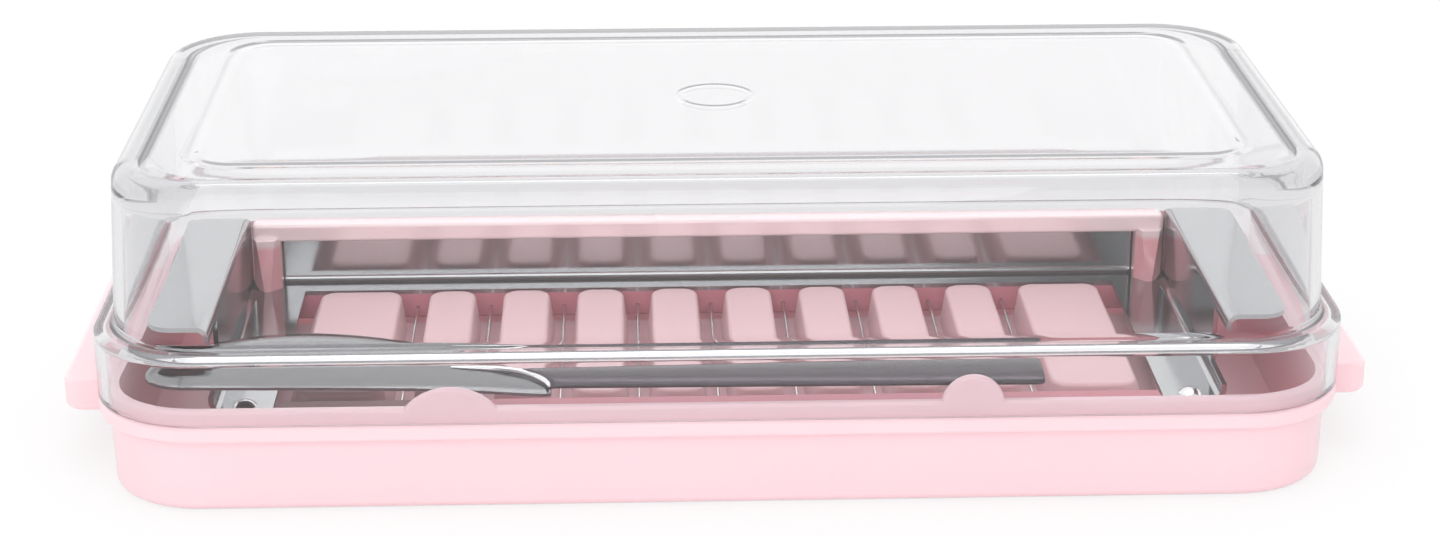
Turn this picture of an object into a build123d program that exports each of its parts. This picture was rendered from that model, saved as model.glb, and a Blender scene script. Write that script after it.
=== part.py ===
from build123d import *
import os

# Butter slicer with case, in millimetres: X along the case, Y to the back, Z up.
# The origin is the centre of the base's underside.
# The sizes run from the inside out: butter, comb, cutter, tray, lid.

# Slicing comb
slice_pitch = 13.4          # thickness of one slice of butter
slice_count = 10            # blocks on the comb, so one wire less
end_extra = 6.4             # how far each end block passes its last slice
comb_width = 48.0           # front to back, at the foot of the blocks
comb_corner = 2.8
block_side_draft = 0.9      # each long side of a block leans in by this much
block_end_draft = 0.5       # each front and back face leans in by this much
outer_face_lean = 2.9       # the outer face of an end block leans in by this much
block_edge = 0.8            # rounding of the blocks' top edges
groove_foot = 3.4           # width of a groove at its foot
groove_depth = 6.5
comb_plate = 2.0            # thickness of the plate below the blocks
comb_wall = 1.8             # wall of the hollow blocks
pad_length = 7.0            # rests for the cutter, along the case
pad_width = 9.0
pad_offset = 14.5           # middle of a rest, from the middle of the comb
comb_side_gap = 0.5         # comb plate to the outer face of the cutter
peg_radius = 2.0            # the pegs on the tray's floor that hold the comb
peg_height = 1.6
peg_clearance = 0.2

# Cutter: one bent steel sheet, a plastic rail, two wire bars and the wires
sheet = 0.8
shelf_drop = 0.5            # top of the sheet below the top of the comb
window_clearance = 0.6      # comb to sheet, at each end
arm_width = 10.5            # the sheet beside the comb
shelf_depth = 6.8           # the sheet behind the comb
side_wall_height = 14.7     # top of the shelf to top of the handle plates
side_wall_front = 18.5      # the walls stop here, so that the knife's blade passes
wing_reach = 10.0           # how far a handle plate stands out
wing_half_width = 29.0
wing_corner = 4.5
bend_radius = 1.2           # inside radius of each bend
corner_gap = 0.2            # end of the side walls to the bend of the back wall
back_wall_height = 9.1      # top of the shelf to the rail
wire_radius = 0.3
wire_rise = 2.5             # middle of the wires above the foot of the grooves
wire_clearance = 0.05
ferrule_radius = 0.8        # the swaged head on each end of a wire
ferrule_length = 1.0
bar_gap = 1.2               # comb to wire bar
bar_depth = 3.2             # front bar, front to back
rear_bar_depth = 4.2
bar_lift = 0.5              # underside of the bars above the foot of the grooves
bar_arm_gap = 0.5           # raised middle of the front bar to the arms
bar_end_gap = 2.5           # end of a bar to the outer face of the cutter
bar_edge = 0.5
rivet_radius = 1.0
rivet_head_radius = 2.0
rivet_head_height = 0.9
rivet_clearance = 0.05
rivet_end_offset = 3.2      # rivet to the end of the bar

# Rail along the back of the cutter, with a post at each end
rail_depth = 10.0
rail_height = 3.4
rail_front_lap = 4.0        # how far the rail stands in front of the back wall
rail_edge = 0.7
rail_end_gap = 0.5          # rail to side wall
slot_clearance = 0.1
slot_depth = 1.5            # how far the back wall goes up into the rail
post_width = 5.0
post_depth = 4.3
post_wall_gap = 0.4         # post to side wall
post_chamfer = 0.9          # at the foot, where the sheet bends up
post_facet_top = 3.2        # width of the post's front face at the rail
post_facet_foot = 1.2       # and at the shelf
post_peg_radius = 1.3
post_peg_length = 2.6       # into the rear wire bar
post_peg_clearance = 0.1

# Tray
floor = 2.5
foot_recess = 0.8
foot_width = 6.0
tray_end_clearance = 4.0    # handle plate to the tray's end wall
trough_width = 13.6         # room for the knife, in front of the cutter
wire_front_clearance = 1.6  # wire ends to the knife rests
tray_corner = 14.6
tray_draft = 1.2
rim_wall = 1.4
rim_height = 2.2            # the rim above the ledge that the lid rests on
rim_edge = 0.6
ledge_height = 15.4         # underside of the tray to that ledge
flange_height = 2.9
flange_lip = 1.8            # flange past the body below it
flange_edge = 0.8
body_draft = 0.2
body_edge = 1.4
ear_reach = 6.9             # how far a lifting ear stands out of the flange
ear_half_width = 27.0
ear_height = 5.4
ear_drop = 0.4              # top of an ear below the ledge
ear_corner = 3.5
ear_edge = 0.9
ear_wall = 1.8

# Knife rests: a rib behind a round tab, at two places on the front rim
knife_rest_height = 18.6
rib_width = 3.0
blade_drop = 0.6            # the rest below the blade is lower by this much
left_tab_x = -43.6
left_tab_width = 14.7
left_tab_rise = 3.4
right_tab_x = 39.9
right_tab_width = 10.1
right_tab_rise = 4.4
tab_edge = 0.5

# Lid
lid_gap = 0.4               # rim to lid, all round
lid_wall = 1.6
skirt_height = 12.0
step_inset_x = 3.3
step_inset_y = 3.0
upper_height = 27.4
upper_draft = 1.5
upper_corner = 15.5         # corner of the upper part, at the step
lid_top_edge = 3.2
step_edge = 1.4
groove_inset_x = 12.3       # middle of the decorative groove, from the top's edge
groove_inset_y = 8.7
groove_line = 2.4           # width of that groove
groove_line_depth = 0.5
groove_corner = 7.0
ring_radius = 6.2           # plain ring in the middle of the lid
ring_width = 0.9
ring_depth = 0.4

# Butter knife
knife_tip_x = -93.8
knife_handle_end_x = 52.0
knife_neck_x = -29.0
knife_front_gap = 2.0       # blade to the front tabs
blade_width = 27.4
blade_thickness = 1.3
blade_edge = 0.45
handle_thickness = 1.9
handle_neck_width = 6.4
handle_end_width = 10.2
handle_flare = 1.2          # the handle's end stands this far in front of its neck
handle_heel = 1.5           # the blade stands this far in front of the neck
heel_nose = 1.4             # the blade's heel passes the neck by this much
heel_back = 4.6             # where the heel meets the handle, behind the neck
handle_lap = 11.0           # the handle runs this far onto the blade, at its back
handle_lap_front = 3.0      # and this far at its front
handle_edge = 0.8
handle_corner = 1.3

# Heights
plate_top = floor + comb_plate
comb_top = plate_top + groove_depth
shelf_top = comb_top - shelf_drop
shelf_under = shelf_top - sheet
wing_top = shelf_top + side_wall_height
rail_under = shelf_top + back_wall_height
wire_z = plate_top + wire_rise
bar_under = plate_top + bar_lift
flange_under = ledge_height - flange_height
rim_top = ledge_height + rim_height
ear_top = ledge_height - ear_drop
step_z = ledge_height + skirt_height
lid_top = step_z + upper_height

# Half lengths along X, and half widths along Y
slices_half = slice_count * slice_pitch / 2
comb_half = slices_half + end_extra
window_half = comb_half + window_clearance
frame_half = window_half + arm_width
wing_end = frame_half + wing_reach
tray_x = wing_end + tray_end_clearance
bar_front = comb_width / 2 + bar_gap
arm_front = bar_front + bar_depth
rib_back = bar_front + bar_depth + ferrule_length + wire_front_clearance
tray_y = rib_back + trough_width
back_wall_y = bar_front + shelf_depth - 2 * sheet


def rounded_block(half_x, half_y, corner, low, high, grow=0.0):
    """A block with round upright corners, whose top is larger by grow on each side."""
    foot = Plane.XY.offset(low) * RectangleRounded(2 * half_x, 2 * half_y, corner)
    head = Plane.XY.offset(high) * RectangleRounded(
        2 * (half_x + grow), 2 * (half_y + grow), corner + grow)
    return loft([foot, head], ruled=True)


def block(x_low, x_high, y_low, y_high, z_low, z_high):
    """A plain box between two corners."""
    size = (x_high - x_low, y_high - y_low, z_high - z_low)
    middle = ((x_low + x_high) / 2, (y_low + y_high) / 2, (z_low + z_high) / 2)
    return Pos(*middle) * Box(*size)


def edges_at(shape, z):
    """The edges that lie flat at one height."""
    return shape.edges().filter_by_position(Axis.Z, z - 0.001, z + 0.001)


def rod_along_y(x, z, radius, y_low, y_high):
    """A round rod from front to back."""
    return Pos(x, (y_low + y_high) / 2, z) * Rot(90, 0, 0) * Cylinder(radius, y_high - y_low)


def rod_upright(x, y, radius, z_low, z_high):
    """A round rod that stands upright."""
    return Pos(x, y, (z_low + z_high) / 2) * Cylinder(radius, z_high - z_low)


def knife_rest(x, width, rise, rib_top):
    """A round tab on the front rim with a rib behind it that the knife lies on."""
    radius = ((width / 2) ** 2 + rise ** 2) / (2 * rise)
    tab_top = rim_top + rise
    disc = rod_along_y(x, tab_top - radius, radius, -tray_y - rim_wall, -tray_y)
    disc = disc & block(x - width, x + width, -tray_y - rim_wall, -tray_y,
                        ledge_height - 1.0, tab_top + 1.0)
    disc = fillet(disc.edges().filter_by(GeomType.CIRCLE), tab_edge)
    rib = block(x - rib_width / 2, x + rib_width / 2, -tray_y - rim_wall / 2, -rib_back,
                floor - 0.5, rib_top)
    return disc + rib


def make_base_tray():
    """The tub with its floor, flange, rim, lifting ears and knife rests."""
    flange_x = tray_x + rim_wall + lid_gap + lid_wall
    flange_y = tray_y + rim_wall + lid_gap + lid_wall
    flange_corner = tray_corner + rim_wall + lid_gap + lid_wall
    foot_x = flange_x - flange_lip - body_draft
    foot_y = flange_y - flange_lip - body_draft
    foot_corner = flange_corner - flange_lip - body_draft
    tub = rounded_block(foot_x, foot_y, foot_corner, 0, flange_under, body_draft)
    tub = fillet(edges_at(tub, 0), body_edge)
    flange = rounded_block(flange_x, flange_y, flange_corner, flange_under, ledge_height)
    ears = block(-flange_x - ear_reach, flange_x + ear_reach, -ear_half_width, ear_half_width,
                 ear_top - ear_height, ear_top)
    ears = fillet(ears.edges().filter_by(Axis.Z), ear_corner)
    flange = fillet(edges_at(flange, ledge_height) + edges_at(flange, flange_under), flange_edge)
    ears = fillet(edges_at(ears, ear_top) + edges_at(ears, ear_top - ear_height), ear_edge)
    rim = rounded_block(tray_x + rim_wall, tray_y + rim_wall, tray_corner + rim_wall,
                        flange_under, rim_top)
    rim = fillet(edges_at(rim, rim_top), rim_edge)
    tray = tub + flange + ears + rim
    tray -= rounded_block(tray_x - tray_draft, tray_y - tray_draft, tray_corner - tray_draft,
                          floor, rim_top + 1.0, tray_draft)
    tray -= rounded_block(foot_x - foot_width, foot_y - foot_width, foot_corner - foot_width,
                          -1.0, foot_recess)
    for side in (-1, 1):
        near = flange_x
        far = flange_x + ear_reach - ear_wall
        middle = side * (near + far) / 2
        pocket = block(middle - (far - near) / 2, middle + (far - near) / 2,
                       -ear_half_width + ear_wall, ear_half_width - ear_wall,
                       ear_top - ear_height - 1.0, ear_top - ear_wall)
        tray -= pocket
        tray += rod_upright(side * peg_x(), 0, peg_radius, floor - 0.5, floor + peg_height)
    tray += knife_rest(left_tab_x, left_tab_width, left_tab_rise, knife_rest_height - blade_drop)
    tray += knife_rest(right_tab_x, right_tab_width, right_tab_rise, knife_rest_height)
    return tray


def peg_x():
    """How far out the comb's locating pegs are."""
    return (window_half + frame_half) / 2


def comb_block(x_low, x_high, lean_low, lean_high):
    """One hollow block of the comb, between two places along X at its foot."""
    foot = Plane.XY.offset(plate_top - 0.5) * Pos((x_low + x_high) / 2, 0) * RectangleRounded(
        x_high - x_low, comb_width, comb_corner)
    top_low = x_low + lean_low
    top_high = x_high - lean_high
    head = Plane.XY.offset(comb_top) * Pos((top_low + top_high) / 2, 0) * RectangleRounded(
        top_high - top_low, comb_width - 2 * block_end_draft, comb_corner)
    shape = loft([foot, head], ruled=True)
    return fillet(edges_at(shape, comb_top), block_edge)


def make_slicing_comb():
    """Ten blocks on a plate, with a groove for each wire, hollow from below."""
    plate_x = frame_half - comb_side_gap
    comb = rounded_block(plate_x, comb_width / 2, comb_corner, floor, plate_top)
    for index in range(slice_count):
        x_low = -slices_half + index * slice_pitch + groove_foot / 2
        x_high = -slices_half + (index + 1) * slice_pitch - groove_foot / 2
        lean_low = block_side_draft
        lean_high = block_side_draft
        if index == 0:
            x_low = -comb_half
            lean_low = outer_face_lean
        if index == slice_count - 1:
            x_high = comb_half
            lean_high = outer_face_lean
        comb += comb_block(x_low, x_high, lean_low, lean_high)
        comb -= block(x_low + lean_low + comb_wall, x_high - lean_high - comb_wall,
                      -comb_width / 2 + comb_wall + block_end_draft,
                      comb_width / 2 - comb_wall - block_end_draft,
                      floor - 1.0, comb_top - comb_wall)
    for side in (-1, 1):
        for end in (-1, 1):
            x_middle = side * peg_x()
            y_middle = end * pad_offset
            comb += block(x_middle - pad_length / 2, x_middle + pad_length / 2,
                          y_middle - pad_width / 2, y_middle + pad_width / 2,
                          plate_top - 0.5, shelf_under)
        comb -= rod_upright(side * peg_x(), 0, peg_radius + peg_clearance, floor - 1.0, plate_top + 1.0)
    return comb


def bent_side(side):
    """The sheet beside the comb: arm, side wall and handle plate, bent from one piece."""
    outer = bend_radius + sheet
    arm_z = shelf_under
    wall_in = frame_half - sheet
    wall_back = back_wall_y - bend_radius - corner_gap
    outline = Polyline(
        (window_half, arm_z), (frame_half, arm_z), (frame_half, wing_top - sheet),
        (wing_end, wing_top - sheet), (wing_end, wing_top), (wall_in, wing_top),
        (wall_in, shelf_top), (window_half, shelf_top), close=True)
    face = Plane.XZ * make_face(outline)
    reach = arm_front + back_wall_y + wing_half_width
    strip = extrude(face, amount=reach, both=True)
    upright = strip.edges().filter_by(Axis.Y)
    tight = [e for e in upright if near(e, frame_half, wing_top - sheet) or near(e, wall_in, shelf_top)]
    wide = [e for e in upright if near(e, frame_half, arm_z) or near(e, wall_in, wing_top)]
    strip = fillet(tight, bend_radius)
    strip = fillet([e for e in strip.edges().filter_by(Axis.Y)
                    if near(e, frame_half, arm_z) or near(e, wall_in, wing_top)], outer)
    arm_bend = shelf_top + outer
    plate_bend = wing_top - sheet - outer
    levels = (
        (shelf_under - sheet, arm_bend, arm_front, wall_back),
        (arm_bend, plate_bend, side_wall_front, wall_back),
        (plate_bend, wing_top + sheet, wing_half_width, wing_half_width))
    for low, high, front, back in levels:
        strip -= block(window_half - sheet, wing_end + sheet, -reach - sheet, -front, low, high)
        strip -= block(window_half - sheet, wing_end + sheet, back, reach + sheet, low, high)
    corners = [e for e in strip.edges().filter_by(Axis.Z) if abs(e.center().X - wing_end) < 0.01]
    strip = fillet(corners, wing_corner)
    if side < 0:
        strip = mirror(strip, about=Plane.YZ)
    return strip


def near(edge, x, z):
    """Whether an edge along Y passes the point x, z."""
    middle = edge.center()
    return abs(middle.X - x) < 0.01 and abs(middle.Z - z) < 0.01


def make_cutter_frame():
    """The steel sheet: two arms and a shelf round the comb, walls and handle plates."""
    back = back_wall_y + sheet
    shelf = block(-frame_half + bend_radius, frame_half - bend_radius, bar_front, back,
                  shelf_under, shelf_top)
    wall = block(-frame_half + sheet, frame_half - sheet, back_wall_y, back,
                 shelf_under, rail_under + slot_depth)
    frame = bent_side(1) + bent_side(-1) + shelf + wall
    root = [e for e in frame.edges().filter_by(Axis.X)
            if abs(e.center().Y - back_wall_y) < 0.01 and abs(e.center().Z - shelf_top) < 0.01]
    frame = fillet(root, bend_radius)
    for side in (-1, 1):
        frame -= rod_upright(side * rivet_x(), -rivet_y(), rivet_radius + rivet_clearance,
                             shelf_under - 1.0, shelf_top + 1.0)
        frame -= rod_upright(side * post_x(), post_y(), post_peg_radius + post_peg_clearance,
                             shelf_under - 1.0, shelf_top + 1.0)
    return frame


def rivet_x():
    """How far out the rivets of the front bar are."""
    return frame_half - bar_end_gap - rivet_end_offset


def rivet_y():
    """How far forward those rivets are."""
    return bar_front + bar_depth / 2


def post_x():
    """Middle of a post, along X."""
    return frame_half - sheet - post_wall_gap - post_width / 2


def post_y():
    """Middle of a post, along Y."""
    return back_wall_y - bend_radius - post_depth / 2


def make_back_rail():
    """The rail over the back wall, with two tapering posts that stand on the shelf."""
    half = frame_half - sheet - rail_end_gap
    front = back_wall_y - rail_front_lap
    rail = block(-half, half, front, front + rail_depth, rail_under, rail_under + rail_height)
    rail = fillet(rail.edges(), rail_edge)
    low = post_y() - post_depth / 2
    high = post_y() + post_depth / 2
    for side in (-1, 1):
        outlines = []
        for z, facet in ((shelf_top, post_facet_foot), (rail_under + rail_edge, post_facet_top)):
            outline = Polyline(
                (-post_width / 2, high), (-post_width / 2, (low + high) / 2), (-facet / 2, low),
                (facet / 2, low), (post_width / 2, (low + high) / 2), (post_width / 2, high),
                close=True)
            outlines.append(Plane.XY.offset(z) * Pos(side * post_x(), 0) * make_face(outline))
        post = loft(outlines, ruled=True)
        outer_face = side * (post_x() + post_width / 2)
        corner = Polyline(
            (outer_face, shelf_top), (outer_face, shelf_top + post_chamfer),
            (outer_face - side * post_chamfer, shelf_top), close=True)
        corner = Plane.XZ.offset(-high) * make_face(corner)
        rail += post - extrude(corner, amount=post_depth)
        rail += rod_upright(side * post_x(), post_y(), post_peg_radius,
                            shelf_under - post_peg_length, shelf_top + 0.5)
    rail -= block(-half - 1.0, half + 1.0, back_wall_y - slot_clearance,
                  back_wall_y + sheet + slot_clearance, rail_under - 1.0,
                  rail_under + slot_depth + slot_clearance)
    return rail


def wire_positions():
    """Where the wires are along X: over each groove of the comb."""
    return [-slices_half + index * slice_pitch for index in range(1, slice_count)]


def make_front_wire_bar():
    """The bar in front of the comb, below the two arms and raised between them."""
    half = frame_half - bar_end_gap
    front = -bar_front - bar_depth
    bar = block(-half, half, front, -bar_front, bar_under, shelf_under)
    bar = fillet(edges_at(bar, bar_under).filter_by(Axis.X), bar_edge)
    between = window_half - bar_arm_gap
    raised = block(-between, between, front, -bar_front, shelf_under - bar_edge, shelf_top)
    bar += fillet(edges_at(raised, shelf_top).filter_by(Axis.X), bar_edge)
    for side in (-1, 1):
        bar -= rod_upright(side * rivet_x(), -rivet_y(), rivet_radius + rivet_clearance,
                           bar_under - 1.0, shelf_under + 1.0)
    for x in wire_positions():
        bar -= rod_along_y(x, wire_z, wire_radius + wire_clearance, front - 1.0, -bar_front + 1.0)
    return bar


def make_rear_wire_bar():
    """The bar below the shelf behind the comb."""
    half = frame_half - bar_end_gap
    back = bar_front + rear_bar_depth
    bar = block(-half, half, bar_front, back, bar_under, shelf_under)
    bar = fillet(bar.edges().filter_by(Axis.X).filter_by_position(
        Axis.Z, bar_under - 0.01, bar_under + 0.01), bar_edge)
    for side in (-1, 1):
        bar -= rod_upright(side * post_x(), post_y(), post_peg_radius + post_peg_clearance,
                           shelf_under - post_peg_length - post_peg_clearance, shelf_under + 1.0)
    for x in wire_positions():
        bar -= rod_along_y(x, wire_z, wire_radius + wire_clearance, bar_front - 1.0, back + 1.0)
    return bar


def make_wire(x):
    """One cutting wire with a swaged head at each end."""
    front = -bar_front - bar_depth
    back = bar_front + rear_bar_depth
    wire = rod_along_y(x, wire_z, wire_radius, front - 0.2, back + 0.2)
    wire += rod_along_y(x, wire_z, ferrule_radius, front - ferrule_length, front)
    wire += rod_along_y(x, wire_z, ferrule_radius, back, back + ferrule_length)
    return wire


def make_front_rivets():
    """Two domed rivets that hold the front bar under the arms."""
    rivets = []
    for side in (-1, 1):
        shank = rod_upright(side * rivet_x(), -rivet_y(), rivet_radius, bar_under, shelf_top + 0.2)
        ball = (rivet_head_radius ** 2 + rivet_head_height ** 2) / (2 * rivet_head_height)
        dome = Pos(side * rivet_x(), -rivet_y(), shelf_top + rivet_head_height - ball) * Sphere(ball)
        above = rod_upright(side * rivet_x(), -rivet_y(), rivet_head_radius + 1.0,
                            shelf_top, shelf_top + rivet_head_height + 1.0)
        rivets.append(shank + (dome & above))
    return Compound(children=rivets)


def make_lid():
    """The clear cover: a skirt, a step and a tapering upper part with a flat top."""
    skirt_x = tray_x + rim_wall + lid_gap + lid_wall
    skirt_y = tray_y + rim_wall + lid_gap + lid_wall
    skirt_corner = tray_corner + rim_wall + lid_gap + lid_wall
    upper_x = skirt_x - step_inset_x
    upper_y = skirt_y - step_inset_y
    skirt = rounded_block(skirt_x, skirt_y, skirt_corner, ledge_height, step_z)
    upper = rounded_block(upper_x, upper_y, upper_corner, step_z, lid_top, -upper_draft)
    outside = skirt + upper
    outside = fillet(edges_at(outside, lid_top), lid_top_edge)
    step_edges = edges_at(outside, step_z)
    rim_edges = [e for e in step_edges if outline_reach(e) > upper_reach(upper_x, upper_y)]
    outside = fillet(rim_edges, step_edge)
    inside_skirt = rounded_block(skirt_x - lid_wall, skirt_y - lid_wall, skirt_corner - lid_wall,
                                 ledge_height - 1.0, step_z - lid_wall)
    inside_upper = rounded_block(upper_x - lid_wall, upper_y - lid_wall, upper_corner - lid_wall,
                                 step_z - lid_wall - 0.5, lid_top - lid_wall, -upper_draft)
    lid = outside - inside_skirt - inside_upper
    line_x = upper_x - upper_draft - groove_inset_x
    line_y = upper_y - upper_draft - groove_inset_y
    ring = rounded_block(line_x + groove_line / 2, line_y + groove_line / 2,
                         groove_corner + groove_line / 2, lid_top - groove_line_depth, lid_top + 1.0)
    ring -= rounded_block(line_x - groove_line / 2, line_y - groove_line / 2,
                          groove_corner - groove_line / 2, lid_top - 1.0, lid_top + 2.0)
    lid -= ring
    mark = rod_upright(0, 0, ring_radius + ring_width / 2, lid_top - ring_depth, lid_top + 1.0)
    mark -= rod_upright(0, 0, ring_radius - ring_width / 2, lid_top - 1.0, lid_top + 2.0)
    return lid - mark


def make_butter_knife():
    """A broad rounded blade and a flaring, thicker handle, in one piece of steel."""
    front = -tray_y + knife_front_gap
    back = front + blade_width
    neck_front = front + handle_heel
    neck_back = neck_front + handle_neck_width
    end_front = neck_front - handle_flare
    tip_y = front + 0.37 * blade_width
    length = knife_neck_x - knife_tip_x
    low = knife_rest_height
    back_edge = Spline(
        (knife_neck_x, neck_back), (knife_neck_x - 0.27 * length, back - 0.26 * blade_width),
        (knife_neck_x - 0.64 * length, back), (knife_neck_x - 0.87 * length, back - 0.21 * blade_width),
        (knife_tip_x, tip_y), tangents=((-1, 0.4), (0, -1)))
    straight_x = knife_tip_x + 0.3 * length
    front_edge = Spline(
        (knife_tip_x, tip_y), (knife_tip_x + 0.12 * length, front + 0.11 * blade_width),
        (straight_x, front), tangents=((0, -1), (1, 0)))
    nose_x = knife_neck_x + heel_nose
    straight = Line((straight_x, front), (nose_x - heel_nose, front))
    heel = ThreePointArc(
        (nose_x - heel_nose, front), (nose_x, front + 0.4 * heel_nose),
        (knife_neck_x - 0.4 * heel_back, neck_front))
    close_line = Polyline(heel @ 1, (knife_neck_x - heel_back, neck_back), (knife_neck_x, neck_back))
    blade_face = make_face(Curve() + [back_edge, front_edge, straight, heel, close_line])
    blade = extrude(Plane.XY.offset(low - blade_drop) * blade_face, amount=blade_thickness)
    blade = fillet(edges_at(blade, low - blade_drop + blade_thickness), blade_edge)
    outline = Polyline(
        (knife_neck_x - handle_lap_front, neck_front), (knife_handle_end_x, end_front),
        (knife_handle_end_x, end_front + handle_end_width),
        (knife_neck_x - handle_lap, neck_back), close=True)
    handle = extrude(Plane.XY.offset(low) * make_face(outline), amount=handle_thickness)
    handle = fillet(handle.edges().filter_by(Axis.Z), handle_corner)
    handle = fillet(edges_at(handle, low + handle_thickness), handle_edge)
    return blade + handle


def outline_reach(edge):
    """How far an edge of an outline lies from the middle, as a rounded-square measure."""
    middle = edge.position_at(0.5)
    return max(abs(middle.X), abs(middle.Y) + tray_x - tray_y)


def upper_reach(half_x, half_y):
    """The same measure just outside the lid's upper part."""
    return max(half_x, half_y + tray_x - tray_y) + 0.5


parts = {
    "base_tray": make_base_tray(),
    "slicing_comb": make_slicing_comb(),
    "cutter_frame": make_cutter_frame(),
    "back_rail": make_back_rail(),
    "front_wire_bar": make_front_wire_bar(),
    "rear_wire_bar": make_rear_wire_bar(),
    "front_rivets": make_front_rivets(),
    "lid": make_lid(),
    "butter_knife": make_butter_knife(),
}
for number, place in enumerate(wire_positions(), start=1):
    parts[f"cutting_wire_{number}"] = make_wire(place)

os.makedirs("parts", exist_ok=True)
for name, shape in parts.items():
    export_step(shape, f"parts/{name}.step")
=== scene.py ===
import math

import bmesh
import bpy
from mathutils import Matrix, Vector


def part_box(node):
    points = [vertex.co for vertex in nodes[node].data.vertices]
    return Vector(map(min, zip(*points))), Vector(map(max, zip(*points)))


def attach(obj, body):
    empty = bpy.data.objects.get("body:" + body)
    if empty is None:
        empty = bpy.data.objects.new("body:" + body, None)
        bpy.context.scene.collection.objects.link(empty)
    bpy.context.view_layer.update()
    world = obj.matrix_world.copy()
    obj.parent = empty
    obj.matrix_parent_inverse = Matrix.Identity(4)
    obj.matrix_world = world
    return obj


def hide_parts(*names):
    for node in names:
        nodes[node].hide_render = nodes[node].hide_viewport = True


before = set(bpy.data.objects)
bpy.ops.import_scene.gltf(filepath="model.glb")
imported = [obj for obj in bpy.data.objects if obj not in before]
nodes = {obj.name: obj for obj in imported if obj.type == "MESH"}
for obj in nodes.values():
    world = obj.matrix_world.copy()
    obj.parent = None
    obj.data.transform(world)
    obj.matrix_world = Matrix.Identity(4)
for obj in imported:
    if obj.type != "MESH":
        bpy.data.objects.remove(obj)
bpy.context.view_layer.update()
MM = 0.001

# Tray
# The tub that everything stands in: pale pink plastic in one moulding, with a flange for the
# lid, a lifting ear at each end and two knife rests. The plastic is a little translucent. Deep
# inside, a stronger, redder pink is painted on: painted shade and bounce light from wall to wall.
TRAY_PINK = (0.950, 0.675, 0.720)
TRAY_PINK_CLOUD = (0.940, 0.650, 0.700)
TRAY_PAINTED_SHADE_PINK = (1.000, 0.460, 0.520)
TRAY_INNER_X = 99.2 * MM
TRAY_INNER_Y = 45.3 * MM
TRAY_INNER_CORNER = 15.3 * MM
TRAY_RIM_TOP = 17.6 * MM
TRAY_FLOOR_TOP = 2.5 * MM
TRAY_SHADE_DROP = 0.8 * MM
TRAY_SHADE_FADE = 9.0 * MM
TRAY_ROUGHNESS = 0.34
TRAY_COAT = 0.5
TRAY_COAT_ROUGHNESS = 0.18
MASK_SIDE_EDGE = 0.3 * MM
MASK_FLOOR_NONE = 0.6 * MM
MASK_FLOOR_FULL = 0.2 * MM
CLOUD_SCALE = 28.0
CLOUD_DETAIL = 2.0
CLOUD_UNEVENNESS = 0.5
CLOUD_DULLEST = 0.05
CLOUD_SHINIEST = 0.04
GRAIN_SCALE = 2600.0
GRAIN_DETAIL = 2.0
GRAIN_STRENGTH = 0.06
GRAIN_HEIGHT = 0.08 * MM
PLASTIC_IOR = 1.49
PLASTIC_GLOW = 0.12
PLASTIC_GLOW_COLOUR = (1.0, 0.5, 0.5)
PLASTIC_GLOW_REACH = 1.5 * MM
NORMAL_WEIGHT = 80
CAD_SHARP = math.radians(30.0)
CAD_WELD = 0.001 * MM


def new_material(name):
    """A new material with its tree of nodes and its Principled shader."""
    material = bpy.data.materials.new(name)
    material.use_nodes = True
    return material, material.node_tree, material.node_tree.nodes["Principled BSDF"]


def add(tree, kind, **settings):
    """A node with some of its inputs set by name."""
    node = tree.nodes.new(kind)
    for key, value in settings.items():
        node.inputs[key.replace("_", " ")].default_value = value
    return node


def mix_colours(tree, first, second, factor):
    """A mix of two colours, each a tuple or a socket, by a socket."""
    blend = tree.nodes.new("ShaderNodeMix")
    blend.data_type = "RGBA"
    for colour, socket in ((first, blend.inputs["A"]), (second, blend.inputs["B"])):
        if isinstance(colour, tuple):
            socket.default_value = (*colour, 1)
        else:
            tree.links.new(colour, socket)
    tree.links.new(factor, blend.inputs["Factor"])
    return blend.outputs["Result"]


def reckon(tree, operation, *sides, clamp=False):
    """A sum in a tree of nodes; each side is a number or a socket."""
    node = tree.nodes.new("ShaderNodeMath")
    node.operation = operation
    node.use_clamp = clamp
    for side, socket in zip(sides, node.inputs):
        if isinstance(side, (int, float)):
            socket.default_value = side
        else:
            tree.links.new(side, socket)
    return node.outputs["Value"]


def noise(tree, place, **settings):
    """A noise pattern read at a place."""
    node = add(tree, "ShaderNodeTexNoise", **settings)
    tree.links.new(place, node.inputs["Vector"])
    return node.outputs["Fac"]


def map_range(tree, value, **settings):
    """A value moved from one range to another."""
    node = add(tree, "ShaderNodeMapRange", **settings)
    tree.links.new(value, node.inputs["Value"])
    return node.outputs["Result"]


def roughen(tree, shader, height, strength, depth):
    """A fine bump on a shader's surface, from a pattern."""
    bump = add(tree, "ShaderNodeBump", Strength=strength, Distance=depth)
    tree.links.new(height, bump.inputs["Height"])
    tree.links.new(bump.outputs["Normal"], shader.inputs["Normal"])


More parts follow.
